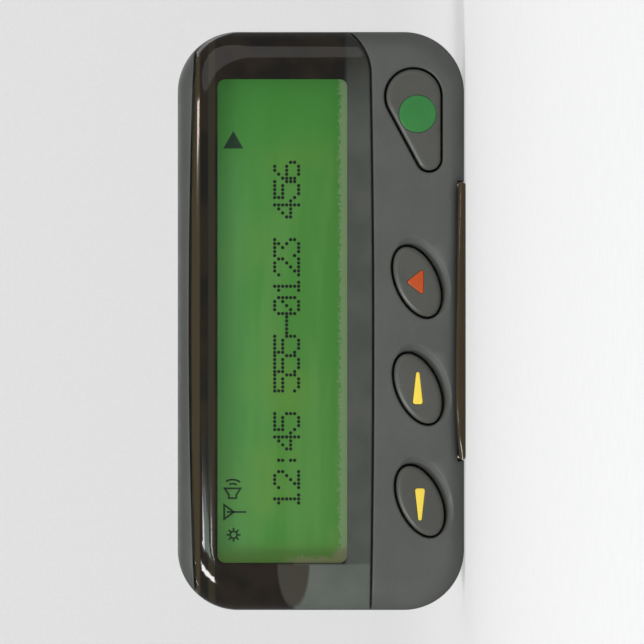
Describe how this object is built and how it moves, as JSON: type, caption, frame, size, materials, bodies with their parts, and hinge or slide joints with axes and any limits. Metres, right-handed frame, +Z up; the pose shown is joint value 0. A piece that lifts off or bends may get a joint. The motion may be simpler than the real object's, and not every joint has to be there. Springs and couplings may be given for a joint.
{
  "type": "belt-worn message pager",
  "caption": "Landscape message pager with a wide green display and oval keys, standing in a belt holder with a sprung clip.",
  "frame": {"origin": "centre of the bounding box's footprint, on the surface that the belt holder stands on", "axes": "+Z up, +X along the pager's long side to the reader's right, -Y out of the display's face"},
  "size_m": [0.086, 0.0316, 0.0427],
  "materials": {
    "housing_plastic": "charcoal grey, fine moulded grain",
    "key_plastic": "charcoal grey, satin",
    "window_plastic": "clear smoked lens with a dark printed border",
    "holder_plastic": "glossy black-brown",
    "clip_plastic": "black, fine grain",
    "steel": "nickel plated",
    "spring_steel": "bright spring steel",
    "screw_steel": "dark zinc plated",
    "gasket_rubber": "black foam adhesive",
    "display": "backlit green liquid crystal",
    "frame_plastic": "black",
    "light_guide": "pale green light guide",
    "silicone": "grey silicone",
    "board": "green solder mask",
    "tin_plate": "tin plate",
    "chip_plastic": "black epoxy",
    "antenna_metal": "brass strip",
    "buzzer_plastic": "black",
    "weight_brass": "sintered heavy metal",
    "cell_jacket": "plain dark sleeve",
    "yellow_mark": "yellow inlay",
    "red_mark": "orange-red inlay",
    "green_mark": "green inlay"
  },
  "bodies": {
    "holder": {"holster": "holder_plastic", "clip_pin": "steel", "clip_spring": "spring_steel"},
    "clip": {"belt_clip": "clip_plastic"},
    "pager": {"front_housing": "housing_plastic", "rear_housing": "housing_plastic", "display_window": "window_plastic", "window_gasket": "gasket_rubber", "lcd_panel": "display", "lcd_frame": "frame_plastic", "backlight_panel": "light_guide", "contact_strip_lower": "silicone", "contact_strip_upper": "silicone", "keypad_membrane": "silicone", "snap_dome_left": "spring_steel", "snap_dome_right": "spring_steel", "snap_dome_select": "spring_steel", "snap_dome_read": "spring_steel", "main_board": "board", "rf_shield": "tin_plate", "processor": "chip_plastic", "memory_chip": "chip_plastic", "crystal_can": "tin_plate", "loop_antenna": "antenna_metal", "buzzer": "buzzer_plastic", "vibration_motor": "steel", "motor_bracket": "silicone", "battery": "cell_jacket", "battery_spring": "spring_steel", "battery_contact": "spring_steel", "housing_screw_1": "screw_steel", "housing_screw_2": "screw_steel", "housing_screw_3": "screw_steel", "housing_screw_4": "screw_steel"},
    "battery_door": {"battery_door": "housing_plastic"},
    "motor_rotor": {"motor_weight": "weight_brass"},
    "key_left": {"key_left": "key_plastic", "mark_left": "yellow_mark"},
    "key_right": {"key_right": "key_plastic", "mark_right": "yellow_mark"},
    "key_select": {"key_select": "key_plastic", "mark_select": "red_mark"},
    "key_read": {"key_read": "key_plastic", "mark_read": "green_mark"}
  },
  "joints": [
    {"name": "clip_hinge", "type": "hinge", "parent": "holder", "child": "clip", "pos_m": [0, 0.0109, 0.0311], "axis": [1, 0, 0], "range_deg": [0, 25], "stiffness_Nm_per_rad": 0.06, "springref_deg": -28.65},
    {"name": "holder_slide", "type": "slide", "parent": "holder", "child": "pager", "axis": [0, 0, 1], "range_m": [0, 0.05]},
    {"name": "battery_door_slide", "type": "slide", "parent": "pager", "child": "battery_door", "axis": [1, 0, 0], "range_m": [0, 0.056]},
    {"name": "motor_spin", "type": "hinge", "parent": "pager", "child": "motor_rotor", "pos_m": [-0.03, -0.0014, 0.0325], "axis": [1, 0, 0], "continuous": true},
    {"name": "key_left_press", "type": "slide", "parent": "pager", "child": "key_left", "axis": [0, 1, 0], "range_m": [0, 0.0005], "stiffness_N_per_m": 1500},
    {"name": "key_right_press", "type": "slide", "parent": "pager", "child": "key_right", "axis": [0, 1, 0], "range_m": [0, 0.0005], "stiffness_N_per_m": 1500},
    {"name": "key_select_press", "type": "slide", "parent": "pager", "child": "key_select", "axis": [0, 1, 0], "range_m": [0, 0.0005], "stiffness_N_per_m": 1500},
    {"name": "key_read_press", "type": "slide", "parent": "pager", "child": "key_read", "axis": [0, 1, 0], "range_m": [0, 0.0005], "stiffness_N_per_m": 1500}
  ]
}
